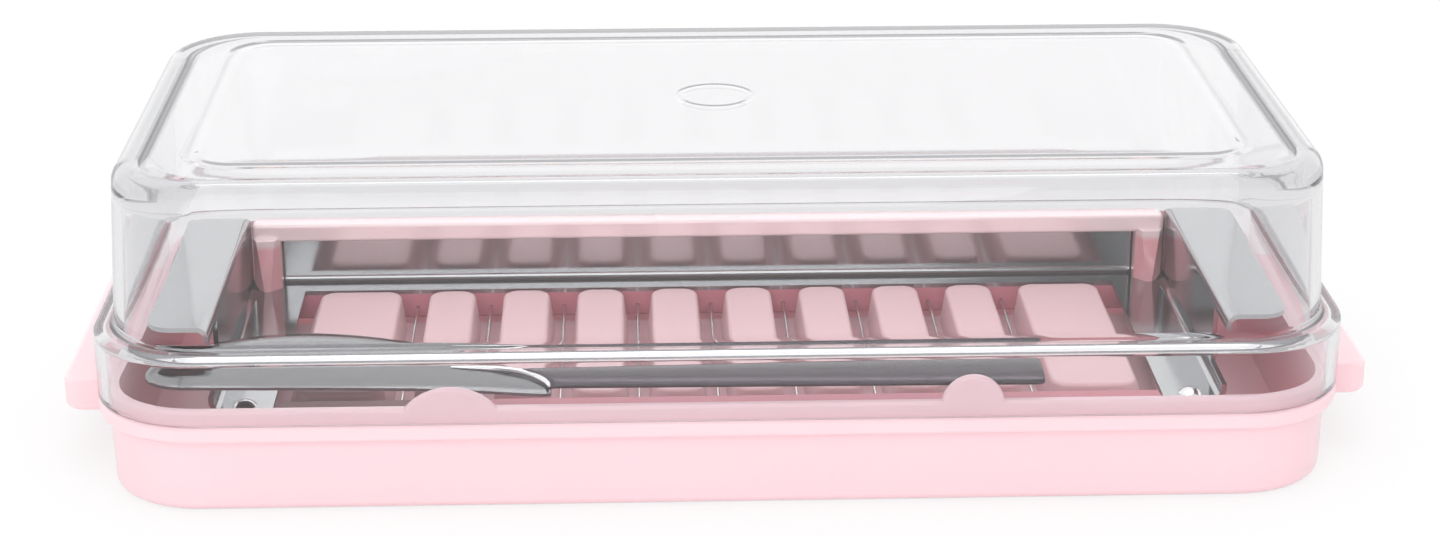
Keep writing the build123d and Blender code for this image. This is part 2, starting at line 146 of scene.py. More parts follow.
def painted_shade_mask(tree, place, half_x, half_y, corner, bottom, top, fade):
    """Where painted shade goes: 1 at the bottom of a round-cornered space about the middle, 0 at
    its top and outside.
    """
    split = tree.nodes.new("ShaderNodeSeparateXYZ")
    tree.links.new(place, split.inputs["Vector"])
    reach = tree.nodes.new("ShaderNodeCombineXYZ")
    for axis, limit in (("X", half_x), ("Y", half_y)):
        mirrored = reckon(tree, "ABSOLUTE", split.outputs[axis])
        past = reckon(tree, "SUBTRACT", mirrored, limit - corner)
        tree.links.new(reckon(tree, "MAXIMUM", past, 0.0), reach.inputs[axis])
    length = tree.nodes.new("ShaderNodeVectorMath")
    length.operation = "LENGTH"
    tree.links.new(reach.outputs["Vector"], length.inputs[0])
    within = map_range(tree, length.outputs["Value"], From_Min=corner,
                       From_Max=corner - MASK_SIDE_EDGE)
    deep = map_range(tree, split.outputs["Z"], From_Min=top, From_Max=top - fade)
    over_floor = map_range(tree, split.outputs["Z"], From_Min=bottom - MASK_FLOOR_NONE,
                           From_Max=bottom - MASK_FLOOR_FULL)
    return reckon(tree, "MULTIPLY", reckon(tree, "MULTIPLY", within, deep), over_floor)


def moulded_plastic(name, colour, cloud_colour, roughness, inside=None, space=None):
    """Satin moulded plastic: faint cloudiness, mould grain and a soft inner glow."""
    material, tree, shader = new_material(name)
    place = tree.nodes.new("ShaderNodeTexCoord").outputs["Object"]
    cloud = noise(tree, place, Scale=CLOUD_SCALE, Detail=CLOUD_DETAIL,
                  Roughness=CLOUD_UNEVENNESS)
    base = mix_colours(tree, colour, cloud_colour, cloud)
    # An inside colour is painted shade, mixed in low down in the space.
    if inside:
        base = mix_colours(tree, base, inside, painted_shade_mask(tree, place, *space))
    tree.links.new(base, shader.inputs["Base Color"])
    grain = noise(tree, place, Scale=GRAIN_SCALE, Detail=GRAIN_DETAIL)
    roughen(tree, shader, grain, GRAIN_STRENGTH, GRAIN_HEIGHT)
    shine = map_range(tree, cloud, To_Min=roughness - CLOUD_SHINIEST,
                      To_Max=roughness + CLOUD_DULLEST)
    tree.links.new(shine, shader.inputs["Roughness"])
    shader.inputs["IOR"].default_value = PLASTIC_IOR
    shader.inputs["Subsurface Weight"].default_value = PLASTIC_GLOW
    shader.inputs["Subsurface Radius"].default_value = PLASTIC_GLOW_COLOUR
    shader.inputs["Subsurface Scale"].default_value = PLASTIC_GLOW_REACH
    return material, shader


def even_normals(piece):
    """Weights the normals, so that flat faces between rounded edges look flat."""
    weigh = piece.modifiers.new("even normals", "WEIGHTED_NORMAL")
    weigh.keep_sharp = True
    weigh.weight = NORMAL_WEIGHT


def smooth_cad(node, material):
    """Welds and smooths a CAD node's shading with a modifier; its own mesh isn't touched."""
    piece = nodes[node]
    tree = bpy.data.node_groups.get("smooth welded skin")
    if tree is None:
        tree = bpy.data.node_groups.new("smooth welded skin", "GeometryNodeTree")
        tree.interface.new_socket("Geometry", in_out="INPUT", socket_type="NodeSocketGeometry")
        tree.interface.new_socket("Geometry", in_out="OUTPUT", socket_type="NodeSocketGeometry")
        entry = tree.nodes.new("NodeGroupInput")
        leave = tree.nodes.new("NodeGroupOutput")
        weld = add(tree, "GeometryNodeMergeByDistance", Distance=CAD_WELD)
        angle = tree.nodes.new("GeometryNodeInputMeshEdgeAngle")
        past = tree.nodes.new("FunctionNodeCompare")
        past.operation = "LESS_THAN"
        past.inputs["B"].default_value = CAD_SHARP
        faces = tree.nodes.new("GeometryNodeSetShadeSmooth")
        edges = tree.nodes.new("GeometryNodeSetShadeSmooth")
        edges.domain = "EDGE"
        for source, target in (
                (entry.outputs[0], weld.inputs["Geometry"]),
                (weld.outputs["Geometry"], faces.inputs["Geometry"]),
                (faces.outputs["Geometry"], edges.inputs["Geometry"]),
                (angle.outputs["Unsigned Angle"], past.inputs["A"]),
                (past.outputs["Result"], edges.inputs["Shade Smooth"]),
                (edges.outputs["Geometry"], leave.inputs[0])):
            tree.links.new(source, target)
    skin = piece.modifiers.new("smooth skin", "NODES")
    skin.node_group = tree
    even_normals(piece)
    piece.data.materials.clear()
    piece.data.materials.append(material)


# Deep inside the tray a redder pink is mixed in as painted shade and bounce light.
tray_plastic, shader = moulded_plastic(
    "tray plastic", TRAY_PINK, TRAY_PINK_CLOUD, TRAY_ROUGHNESS, TRAY_PAINTED_SHADE_PINK,
    (TRAY_INNER_X, TRAY_INNER_Y, TRAY_INNER_CORNER, TRAY_FLOOR_TOP,
     TRAY_RIM_TOP - TRAY_SHADE_DROP, TRAY_SHADE_FADE))
shader.inputs["Coat Weight"].default_value = TRAY_COAT
shader.inputs["Coat Roughness"].default_value = TRAY_COAT_ROUGHNESS
smooth_cad("base_tray", tray_plastic)

# Comb
# A separate moulding that drops onto two pegs in the tray. Ten hollow blocks carry the
# butter and the wires pass down into the grooves between them. Low in the grooves a darker
# pink is painted on as painted shade.
COMB_PINK = (0.865, 0.595, 0.620)
COMB_PINK_CLOUD = (0.850, 0.575, 0.600)
COMB_PAINTED_GROOVE_SHADE = (0.720, 0.470, 0.500)
COMB_ROUGHNESS = 0.38
COMB_SHADE_DROP = 0.6 * MM
COMB_SHADE_FADE = 6.0 * MM
low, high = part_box("slicing_comb")
comb_plastic, shader = moulded_plastic(
    "comb plastic", COMB_PINK, COMB_PINK_CLOUD, COMB_ROUGHNESS, COMB_PAINTED_GROOVE_SHADE,
    (high.x + MM, high.y + MM, MM, low.z, high.z - COMB_SHADE_DROP, COMB_SHADE_FADE))
smooth_cad("slicing_comb", comb_plastic)

# Cutter frame
# One stainless sheet, cut, bent and polished: it lies round the comb, turns up at both
# ends and folds out into two handle plates. Fine rolling lines run along the sheet.
FRAME_STEEL = (0.48, 0.483, 0.49)
FRAME_ROUGHNESS = 0.12
FRAME_LINES = 900.0
FRAME_LINE_DEPTH = 0.06
LINE_STRETCH = 0.02
LINE_HEIGHT = 0.03 * MM
LINE_DETAIL = 3.0
LINE_UNEVENNESS = 0.6
SMUDGE_SCALE = 60.0
SMUDGE_DETAIL = 4.0
SMUDGE_CLEAN = 0.7
SMUDGE_DULL = 1.35


def polished_steel(name, colour, roughness, line_scale, line_depth):
    """Stainless steel with fine lines along X and faint smudges in its shine."""
    material, tree, shader = new_material(name)
    place = tree.nodes.new("ShaderNodeTexCoord").outputs["Object"]
    stretch = add(tree, "ShaderNodeMapping", Scale=(LINE_STRETCH, 1.0, 1.0))
    tree.links.new(place, stretch.inputs["Vector"])
    lines = noise(tree, stretch.outputs["Vector"], Scale=line_scale, Detail=LINE_DETAIL,
                  Roughness=LINE_UNEVENNESS)
    roughen(tree, shader, lines, line_depth, LINE_HEIGHT)
    smudge = noise(tree, place, Scale=SMUDGE_SCALE, Detail=SMUDGE_DETAIL)
    shine = map_range(tree, smudge, To_Min=roughness * SMUDGE_CLEAN,
                      To_Max=roughness * SMUDGE_DULL)
    tree.links.new(shine, shader.inputs["Roughness"])
    shader.inputs["Base Color"].default_value = (*colour, 1)
    shader.inputs["Metallic"].default_value = 1.0
    return material


frame_steel = polished_steel("frame steel", FRAME_STEEL, FRAME_ROUGHNESS, FRAME_LINES,
                             FRAME_LINE_DEPTH)
smooth_cad("cutter_frame", frame_steel)

# Wires and rivets
# Nine taut stainless wires, each with a swaged and bevelled head at the front bar and at
# the back bar, and the two domed rivets that fix the front bar.
WIRE_RADIUS = 0.3 * MM
HEAD_LENGTH = 1.0 * MM
HEAD_BEVEL = 0.25 * MM
WIRE_SIDES = 16
HEAD_SIDES = 24
WIRE_SHARP = 30.0
WIRE_STEEL = (0.80, 0.80, 0.80)
WIRE_ROUGHNESS = 0.16
WIRE_LINES = 1500.0
WIRE_LINE_DEPTH = 0.05
wire_steel = polished_steel("wire steel", WIRE_STEEL, WIRE_ROUGHNESS, WIRE_LINES, WIRE_LINE_DEPTH)
smooth_cad("front_rivets", wire_steel)
wire_names = sorted(name for name in nodes if name.startswith("cutting_wire_"))
first_low, first_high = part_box(wire_names[0])
next_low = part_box(wire_names[1])[0]
wire_sizes = (
    ("Count", "NodeSocketInt", len(wire_names)),
    ("Pitch", "NodeSocketFloat", next_low.x - first_low.x),
    ("First Wire", "NodeSocketFloat", (first_low.x + first_high.x) / 2),
    ("Height", "NodeSocketFloat", (first_low.z + first_high.z) / 2),
    ("Front", "NodeSocketFloat", first_low.y),
    ("Back", "NodeSocketFloat", first_high.y),
    ("Wire Radius", "NodeSocketFloat", WIRE_RADIUS),
    ("Head Radius", "NodeSocketFloat", (first_high.x - first_low.x) / 2),
    ("Head Length", "NodeSocketFloat", HEAD_LENGTH),
    ("Head Bevel", "NodeSocketFloat", HEAD_BEVEL),
    ("Steel", "NodeSocketMaterial", wire_steel))
wire_tree = bpy.data.node_groups.new("taut wires", "GeometryNodeTree")
identifiers = {}
for name, kind, value in wire_sizes:
    identifiers[name] = wire_tree.interface.new_socket(
        name, in_out="INPUT", socket_type=kind).identifier
wire_tree.interface.new_socket("Geometry", in_out="OUTPUT", socket_type="NodeSocketGeometry")
size = wire_tree.nodes.new("NodeGroupInput").outputs


def turned_piece(kind, sides, middle, flip=False, **links):
    """A round piece laid along Y with its middle at a place along Y."""
    node = wire_tree.nodes.new(kind)
    node.inputs["Vertices"].default_value = sides
    for key, source in links.items():
        wire_tree.links.new(source, node.inputs[key.replace("_", " ")])
    spot = wire_tree.nodes.new("ShaderNodeCombineXYZ")
    wire_tree.links.new(middle, spot.inputs["Y"])
    lay = wire_tree.nodes.new("GeometryNodeTransform")
    lay.inputs["Rotation"].default_value = (-math.pi / 2 if flip else math.pi / 2, 0, 0)
    wire_tree.links.new(node.outputs["Mesh"], lay.inputs["Geometry"])
    wire_tree.links.new(spot.outputs["Vector"], lay.inputs["Translation"])
    return lay.outputs["Geometry"]


one_wire = wire_tree.nodes.new("GeometryNodeJoinGeometry")
span = reckon(wire_tree, "SUBTRACT", size["Back"], size["Front"])
centre = reckon(wire_tree, "MULTIPLY", reckon(wire_tree, "ADD", size["Back"], size["Front"]), 0.5)
between_heads = reckon(wire_tree, "SUBTRACT", span, size["Head Length"])
collar = reckon(wire_tree, "SUBTRACT", size["Head Length"], size["Head Bevel"])
collar_half = reckon(wire_tree, "MULTIPLY", collar, 0.5)
bevel_face = reckon(wire_tree, "SUBTRACT", size["Head Radius"], size["Head Bevel"])
wire_pieces = [turned_piece("GeometryNodeMeshCylinder", WIRE_SIDES, centre,
                            Radius=size["Wire Radius"], Depth=between_heads)]
for end, inwards, flip in (("Front", "ADD", False), ("Back", "SUBTRACT", True)):
    bevel_end = reckon(wire_tree, inwards, size[end], size["Head Bevel"])
    collar_middle = reckon(wire_tree, inwards, bevel_end, collar_half)
    wire_pieces.append(turned_piece("GeometryNodeMeshCylinder", HEAD_SIDES, collar_middle,
                                    Radius=size["Head Radius"], Depth=collar))
    wire_pieces.append(turned_piece("GeometryNodeMeshCone", HEAD_SIDES, bevel_end, flip,
                                    Radius_Top=bevel_face, Radius_Bottom=size["Head Radius"],
                                    Depth=size["Head Bevel"]))
for piece in wire_pieces:
    wire_tree.links.new(piece, one_wire.inputs["Geometry"])
row = wire_tree.nodes.new("GeometryNodeMeshLine")
row_start = wire_tree.nodes.new("ShaderNodeCombineXYZ")
row_step = wire_tree.nodes.new("ShaderNodeCombineXYZ")
copies = wire_tree.nodes.new("GeometryNodeInstanceOnPoints")
whole = wire_tree.nodes.new("GeometryNodeRealizeInstances")
paint = wire_tree.nodes.new("GeometryNodeSetMaterial")
leave = wire_tree.nodes.new("NodeGroupOutput")
for source, target in (
        (size["Count"], row.inputs["Count"]),
        (size["First Wire"], row_start.inputs["X"]),
        (size["Height"], row_start.inputs["Z"]),
        (size["Pitch"], row_step.inputs["X"]),
        (row_start.outputs["Vector"], row.inputs["Start Location"]),
        (row_step.outputs["Vector"], row.inputs["Offset"]),
        (row.outputs["Mesh"], copies.inputs["Points"]),
        (one_wire.outputs["Geometry"], copies.inputs["Instance"]),
        (copies.outputs["Instances"], whole.inputs["Geometry"]),
        (whole.outputs["Geometry"], paint.inputs["Geometry"]),
        (size["Steel"], paint.inputs["Material"]),
        (paint.outputs["Geometry"], leave.inputs["Geometry"])):
    wire_tree.links.new(source, target)
maker = bpy.data.objects.new("wire maker", bpy.data.meshes.new("wire maker"))
bpy.context.scene.collection.objects.link(maker)
making = maker.modifiers.new("taut wires", "NODES")
making.node_group = wire_tree
for name, kind, value in wire_sizes:
    making[identifiers[name]] = value
scene_graph = bpy.context.evaluated_depsgraph_get()
wire_mesh = bpy.data.meshes.new_from_object(maker.evaluated_get(scene_graph))
bpy.data.objects.remove(maker)


def dress(name, data, sharp):
    """An object from a mesh, smooth except past an angle, with even normals."""
    data.polygons.foreach_set("use_smooth", [True] * len(data.polygons))
    data.set_sharp_from_angle(angle=math.radians(sharp))
    piece = bpy.data.objects.new(name, data)
    bpy.context.scene.collection.objects.link(piece)
    even_normals(piece)
    return piece


cutting_wires = dress("cutting_wires", wire_mesh, WIRE_SHARP)
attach(cutting_wires, "cutter")
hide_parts(*wire_names)

# Rail and wire bars
# The glossier pink plastic of the cutter: the rail along the back with its two posts, and the
# bars in front and behind that the wires are pulled through. Below the rail's top band the
# posts are painted a deeper pink, and the bars a deep red: painted shade on pink plastic.
RAIL_PINK = (1.000, 0.780, 0.800)
RAIL_PINK_CLOUD = (0.990, 0.765, 0.785)
POST_PAINTED_SHADE_PINK = (0.940, 0.420, 0.460)
BAR_PAINTED_SHADE_PINK = (0.640, 0.230, 0.280)
BAR_PAINTED_SHADE_CLOUD = (0.620, 0.210, 0.260)
BAR_ROUGHNESS = 0.30
RAIL_ROUGHNESS = 0.26
RAIL_COAT_ROUGHNESS = 0.10
RAIL_COAT_IOR = 2.2
RAIL_THICK = 3.4 * MM
POST_SHADE_FADE = 1.2 * MM
low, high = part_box("back_rail")
# The deeper pink on the posts below the rail's top band is painted shade.
rail_plastic, shader = moulded_plastic(
    "rail plastic", RAIL_PINK, RAIL_PINK_CLOUD, RAIL_ROUGHNESS, POST_PAINTED_SHADE_PINK,
    (high.x + MM, high.y + MM, MM, low.z, high.z - RAIL_THICK, POST_SHADE_FADE))
shader.inputs["Coat Weight"].default_value = 1.0
shader.inputs["Coat Roughness"].default_value = RAIL_COAT_ROUGHNESS
shader.inputs["Coat IOR"].default_value = RAIL_COAT_IOR
smooth_cad("back_rail", rail_plastic)
# The bars' deep red is painted shade on pink plastic.
bar_shaded_plastic, shader = moulded_plastic("bar plastic with painted shade", BAR_PAINTED_SHADE_PINK, BAR_PAINTED_SHADE_CLOUD, BAR_ROUGHNESS)
for name in ("front_wire_bar", "rear_wire_bar"):
    smooth_cad(name, bar_shaded_plastic)

# Butter knife
# Pressed from one piece of steel: a broad, crowned blade polished to a mirror, a ridge where
# it meets the handle, coloured near-white as a painted highlight, and a flaring handle in
# darker satin. Its sizes are in millimetres, and an outline's points are (x, y, slope).
BLADE_BACK = ((-70.5, -15.3, 0.0), (-46.5, -22.3, -0.55), (-29.0, -34.7, -0.50))
BLADE_FRONT = ((-93.8, -37.6, 0.0), (-86.0, -38.0, -0.03), (-52.0, -39.4, -0.06),
               (-40.0, -40.7, -0.15), (-29.0, -42.5, -0.10))
TIP_Y = -32.5
TIP_ROUND_BACK = 25.0
TIP_ROUND_FRONT = 7.0
HEEL_X = -27.6
HEEL_Y = -41.8
HEEL_START_X = -29.0
BLADE_WIDE_HALF = 12.0
EDGE_THICK = 0.5
BLADE_CROWN = 1.3
BLADE_HOLLOW = 0.7
BLADE_CURVE = 3
BLADE_FULLNESS = 0.6
BLADE_LEAST_HALF = 0.03
NECK_MIDDLE = (-29.0, -37.9)
NECK_HALF = 3.2
END_MIDDLE_Y = -37.2
END_HALF = 5.1
END_ROUND = 1.3
END_DROP = 0.4
END_DROP_LENGTH = 0.6
HANDLE_UNDER = 18.6
HANDLE_TOP = 19.85
HANDLE_CROWN = 0.6
HANDLE_SQUARE_ACROSS = 0.35
HANDLE_SQUARE_UP = 0.45
SHOULDER_FRONT_X = -28.6
SHOULDER_SLANT = 7.9
SHOULDER_CURVE = 1.2
SHOULDER_RAMP = 2.5
SHOULDER_FOOT = 19.2
RIDGE_PATH = ((-27.9, -42.0), (-28.5, -40.2), (-30.2, -37.8), (-33.2, -35.7), (-37.5, -34.4),
              (-44.0, -33.6))
RIDGE_HALF_WIDTH = 0.65
RIDGE_HALF_HEIGHT = 0.55
RIDGE_HEIGHT = 19.65
RIDGE_END = 0.02
RIDGE_FADE = 0.4
BLADE_STEEL = (0.25, 0.25, 0.256)
BLADE_ROUGHNESS = 0.10
BLADE_LINES = 1200.0
BLADE_LINE_DEPTH = 0.02
RIDGE_PAINTED_HIGHLIGHT = (0.85, 0.85, 0.85)
RIDGE_ROUGHNESS = 0.16
RIDGE_LINE_DEPTH = 0.05
HANDLE_STEEL = (0.112, 0.098, 0.110)
HANDLE_ROUGHNESS = 0.20
HANDLE_LINES = 1600.0
HANDLE_LINE_DEPTH = 0.03
BLADE_SLICES = 72
HANDLE_SLICES = 90
BLADE_SHARP = 50.0
RIDGE_SHARP = 60.0
HANDLE_SHARP = 45.0
SAME_POINT = 1e-7
low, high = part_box("butter_knife")
tip_x = low.x / MM
end_x = high.x / MM
under_z = low.z / MM


def line_through(points, x):
    """A smooth line through points (x, y, slope), read at x."""
    for (x0, y0, slope0), (x1, y1, slope1) in zip(points, points[1:]):
        if x <= x1 or x1 == points[-1][0]:
            run = x1 - x0
            t = min(max((x - x0) / run, 0.0), 1.0)
            return ((1 + 2 * t) * (1 - t) ** 2 * y0 + t * (1 - t) ** 2 * run * slope0
                    + t * t * (3 - 2 * t) * y1 + t * t * (t - 1) * run * slope1)


def round_end(distance, radius):
    """The share of the full width at a distance from a rounded end."""
    left = 1 - min(max(distance / radius, 0.0), 1.0)
    return math.sqrt(max(1 - left * left, 0.0))


def blade_edges(x):
    """The front and back edge of the blade at x."""
    front = line_through(BLADE_FRONT, x)
    back = line_through(BLADE_BACK, x)
    front = TIP_Y + (front - TIP_Y) * round_end(x - tip_x, TIP_ROUND_FRONT)
    back = TIP_Y + (back - TIP_Y) * round_end(x - tip_x, TIP_ROUND_BACK)
    if x > HEEL_START_X:
        left = round_end(HEEL_X - x, HEEL_X - HEEL_START_X)
        front = HEEL_Y + (front - HEEL_Y) * left
        back = HEEL_Y + (back - HEEL_Y) * left
    return front, back


def skin_rings(mesh, rings):
    """Joins rings of points in millimetres into a closed skin in a bmesh."""
    rings = [[mesh.verts.new(Vector(point) * MM) for point in ring] for ring in rings]
    for here, there in zip(rings, rings[1:]):
        for index in range(len(here)):
            after = (index + 1) % len(here)
            mesh.faces.new((here[index], here[after], there[after], there[index]))
    mesh.faces.new(list(reversed(rings[0])))
    mesh.faces.new(rings[-1])


def finish_mesh(name, mesh, material, sharp):
    """A smooth-shaded object from a bmesh, with even normals on its flat faces."""
    bmesh.ops.remove_doubles(mesh, verts=mesh.verts, dist=SAME_POINT)
    bmesh.ops.recalc_face_normals(mesh, faces=mesh.faces)
    data = bpy.data.meshes.new(name)
    mesh.to_mesh(data)
    mesh.free()
    data.materials.append(material)
    return dress(name, data, sharp)


def blade_ring(x, steps=28):
    """One slice across the blade: crowned above, hollow below, thin at its edges."""
    front, back = blade_edges(x)
    middle = (front + back) / 2
    half = max((back - front) / 2, BLADE_LEAST_HALF)
    fullness = min(half / BLADE_WIDE_HALF, 1.0) ** BLADE_FULLNESS
    above = []
    below = []
    for step in range(steps + 1):
        t = -math.cos(math.pi * step / steps)
        bulge = 1 - abs(t) ** BLADE_CURVE
        y = middle + t * half
        above.append((x, y, under_z + EDGE_THICK + BLADE_CROWN * fullness * bulge))
        below.append((x, y, under_z + BLADE_HOLLOW * fullness * bulge))
    return above + below[::-1]


def handle_ring(share, points=40):
    """One slice across the handle; its front end is slanted and ramps up from the blade."""
    ring = []
    for index in range(points):
        angle = 2 * math.pi * index / points
        across = math.copysign(abs(math.cos(angle)) ** HANDLE_SQUARE_ACROSS, math.cos(angle))
        up = math.copysign(abs(math.sin(angle)) ** HANDLE_SQUARE_UP, math.sin(angle))
        left_x = SHOULDER_FRONT_X - SHOULDER_SLANT * ((across + 1) / 2) ** SHOULDER_CURVE
        x = left_x + (end_x - left_x) * share
        along = (x - NECK_MIDDLE[0]) / (end_x - NECK_MIDDLE[0])
        middle = NECK_MIDDLE[1] + (END_MIDDLE_Y - NECK_MIDDLE[1]) * along
        half = NECK_HALF + (END_HALF - NECK_HALF) * along
        half -= END_ROUND * (1 - round_end(end_x - x, END_ROUND))
        rise = min(max((x - left_x) / SHOULDER_RAMP, 0.0), 1.0)
        rise = rise * rise * (3 - 2 * rise)
        top = SHOULDER_FOOT + (HANDLE_TOP - SHOULDER_FOOT) * rise
        top -= END_DROP * (1 - round_end(end_x - x, END_DROP_LENGTH))
        z = HANDLE_UNDER + (top - HANDLE_UNDER) * (up + 1) / 2
        z += HANDLE_CROWN * (1 - across * across) * max(up, 0.0) * rise
        ring.append((x, middle + across * half, z))
    return ring


def ridge_rings(steps=44, points=14):
    """Slices along the ridge, which fades out at both of its ends."""
    count = len(RIDGE_PATH) - 1
    rings = []
    for step in range(steps + 1):
        at = count * step / steps
        index = min(int(at), count - 1)
        t = at - index
        before = RIDGE_PATH[max(index - 1, 0)]
        here = RIDGE_PATH[index]
        after = RIDGE_PATH[index + 1]
        beyond = RIDGE_PATH[min(index + 2, count)]
        spot = []
        way = []
        for a, b, c, d in zip(before, here, after, beyond):
            spot.append(0.5 * (2 * b + (c - a) * t + (2 * a - 5 * b + 4 * c - d) * t ** 2
                               + (3 * b - a - 3 * c + d) * t ** 3))
            way.append(c - a + 2 * (2 * a - 5 * b + 4 * c - d) * t
                       + 3 * (3 * b - a - 3 * c + d) * t ** 2)
        length = math.hypot(*way)
        along = min(max(step / steps, RIDGE_END), 1 - RIDGE_END)
        fade = math.sin(math.pi * along) ** RIDGE_FADE
        ring = []
        for k in range(points):
            angle = 2 * math.pi * k / points
            side = RIDGE_HALF_WIDTH * fade * math.cos(angle)
            ring.append((spot[0] - way[1] / length * side, spot[1] + way[0] / length * side,
                         RIDGE_HEIGHT + RIDGE_HALF_HEIGHT * fade * math.sin(angle)))
        rings.append(ring)
    return rings


def even_steps(count):
    """Shares from 0 to 1 that lie closer together at both ends."""
    return [(1 - math.cos(math.pi * step / count)) / 2 for step in range(count + 1)]


blade_steel = polished_steel(
    "blade steel", BLADE_STEEL, BLADE_ROUGHNESS, BLADE_LINES, BLADE_LINE_DEPTH)
# The ridge's near-white colour is a painted highlight.
ridge_highlight_steel = polished_steel(
    "ridge steel with painted highlight", RIDGE_PAINTED_HIGHLIGHT, RIDGE_ROUGHNESS, BLADE_LINES, RIDGE_LINE_DEPTH)
handle_steel = polished_steel(
    "handle steel", HANDLE_STEEL, HANDLE_ROUGHNESS, HANDLE_LINES, HANDLE_LINE_DEPTH)
blade_slices = [blade_ring(tip_x + (HEEL_X - tip_x) * share) for share in even_steps(BLADE_SLICES)]
handle_slices = [handle_ring(share) for share in even_steps(HANDLE_SLICES)]
for name, slices, steel, sharp in (
        ("knife_blade", blade_slices, blade_steel, BLADE_SHARP),
        ("knife_ridge", ridge_rings(), ridge_highlight_steel, RIDGE_SHARP),
        ("knife_handle", handle_slices, handle_steel, HANDLE_SHARP)):
    mesh = bmesh.new()
    skin_rings(mesh, slices)
    piece = finish_mesh(name, mesh, steel, sharp)
    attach(piece, "knife")
    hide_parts("butter_knife")

# Lid
# A clear, rigid moulding. Its skirt drops over the tray's rim onto the flange, a step leads
# to the tapering upper part, and the flat top has a shallow groove all round and a plain
# ring in its middle. A slice is (half length, half width, corner radius, height).
low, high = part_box("lid")
LID_WALL = 1.6 * MM
STEP_RISE = 12.0 * MM
UPPER_DRAFT = 1.5 * MM
STEP_X = 3.3 * MM
STEP_Y = 3.0 * MM
SKIRT_CORNER = 18.0 * MM
UPPER_CORNER = 15.5 * MM
TOP_EDGE = 3.2 * MM
CEILING_EDGE = 5.0 * MM
STEP_EDGE = 1.4 * MM
STEP_FOOT = 1.0 * MM
INNER_STEP_EDGE = 0.6 * MM
INNER_STEP_FOOT = 0.8 * MM
GROOVE_X = 84.8 * MM
GROOVE_Y = 34.8 * MM
GROOVE_CORNER = 7.0 * MM
GROOVE_HALF = 1.8 * MM
GROOVE_DEPTH = 0.14 * MM
RING_RADIUS = 6.2 * MM
RING_HALF = 0.9 * MM
RING_DEPTH = 0.08 * MM
FOOT_ROUND = 0.25 * MM
CORNER_STEPS = 14
OUTSIDE_BEND_STEPS = 8
INSIDE_BEND_STEPS = 10
LID_SHARP = 40.0
CLEAR_TINT = (0.985, 0.986, 0.992)
CLEAR_ROUGHNESS = 0.02
WALL_TINT = (0.80, 0.80, 0.81)
WALL_DENSITY = 230.0
PAINTED_WALL_GLOW = (0.70, 0.70, 0.71)
GLOW_AFTER_TURNS = 5.5
NARROWEST = 0.01 * MM
skirt_x = high.x
skirt_y = high.y
step_z = low.z + STEP_RISE
upper_x = skirt_x - STEP_X
upper_y = skirt_y - STEP_Y


def slice_points(half_x, half_y, corner, z):
    """The points of one slice, anticlockwise, with the same count on every slice."""
    corner = max(min(corner, half_x - NARROWEST, half_y - NARROWEST), 2 * NARROWEST)
    points = []
    for quarter, (sx, sy) in enumerate(((1, 1), (-1, 1), (-1, -1), (1, -1))):
        for step in range(CORNER_STEPS + 1):
            angle = math.pi / 2 * (quarter + step / CORNER_STEPS)
            points.append((sx * (half_x - corner) + corner * math.cos(angle),
                           sy * (half_y - corner) + corner * math.sin(angle), z))
    return points


def soften(path, radii, steps):
    """A path of slices with its bends rounded; radii holds one radius for each slice."""
    smooth = [path[0]]
    for before, here, after, radius in zip(path, path[1:], path[2:], radii[1:]):
        if radius <= 0:
            smooth.append(here)
            continue
        here_v = Vector(here)
        sides = []
        for other in (before, after):
            way = Vector(other) - here_v
            length_change, width_change, _, rise = way
            run = math.hypot(max(abs(length_change), abs(width_change)), rise)
            sides.append(way * (radius / run))
        for step in range(steps + 1):
            turn = math.pi / 2 * step / steps
            point = here_v + sides[0] * (1 - math.sin(turn)) + sides[1] * (1 - math.cos(turn))
            smooth.append(tuple(point))
    smooth.append(path[-1])
    return smooth


def stack(mesh, slices, cap_first=False, cap_last=False):
    """Joins slices into a skin in a bmesh."""
    rings = []
    for slice_here in slices:
        rings.append([mesh.verts.new(point) for point in slice_points(*slice_here)])
    for lower, upper in zip(rings, rings[1:]):
        for here in range(len(lower)):
            there = (here + 1) % len(lower)
            mesh.faces.new((lower[here], lower[there], upper[there], upper[here]))
    if cap_first:
        mesh.faces.new(list(reversed(rings[0])))
    if cap_last:
        mesh.faces.new(rings[-1])


def upper_slice(z, inset=0.0):
    """The upper part's slice at a height, moved in by a wall."""
    lean = UPPER_DRAFT * (z - step_z) / (high.z - step_z)
    return (upper_x - lean - inset, upper_y - lean - inset, UPPER_CORNER - lean - inset, z)


def skirt_slice(z, inset=0.0):
    """The skirt's slice at a height, moved in by a wall."""
    return (skirt_x - inset, skirt_y - inset, SKIRT_CORNER - inset, z)


def groove_slice(reach, z):
    """A slice that follows the groove in the top, a little inside or outside it."""
    return (GROOVE_X + reach, GROOVE_Y + reach, GROOVE_CORNER + reach, z)


def ring_slice(reach, z):
    """A round slice at the plain ring in the middle of the top."""
    radius = RING_RADIUS + reach
    return (radius, radius, radius, z)


def furrow(slice_at, half, depth, steps=12):
    """Slices across a shallow round-bottomed furrow in the top, from outside in."""
    slices = []
    for step in range(steps + 1):
        share = 1 - 2 * step / steps
        slices.append(slice_at(half * share, high.z - depth * (1 + math.cos(math.pi * share)) / 2))
    return slices


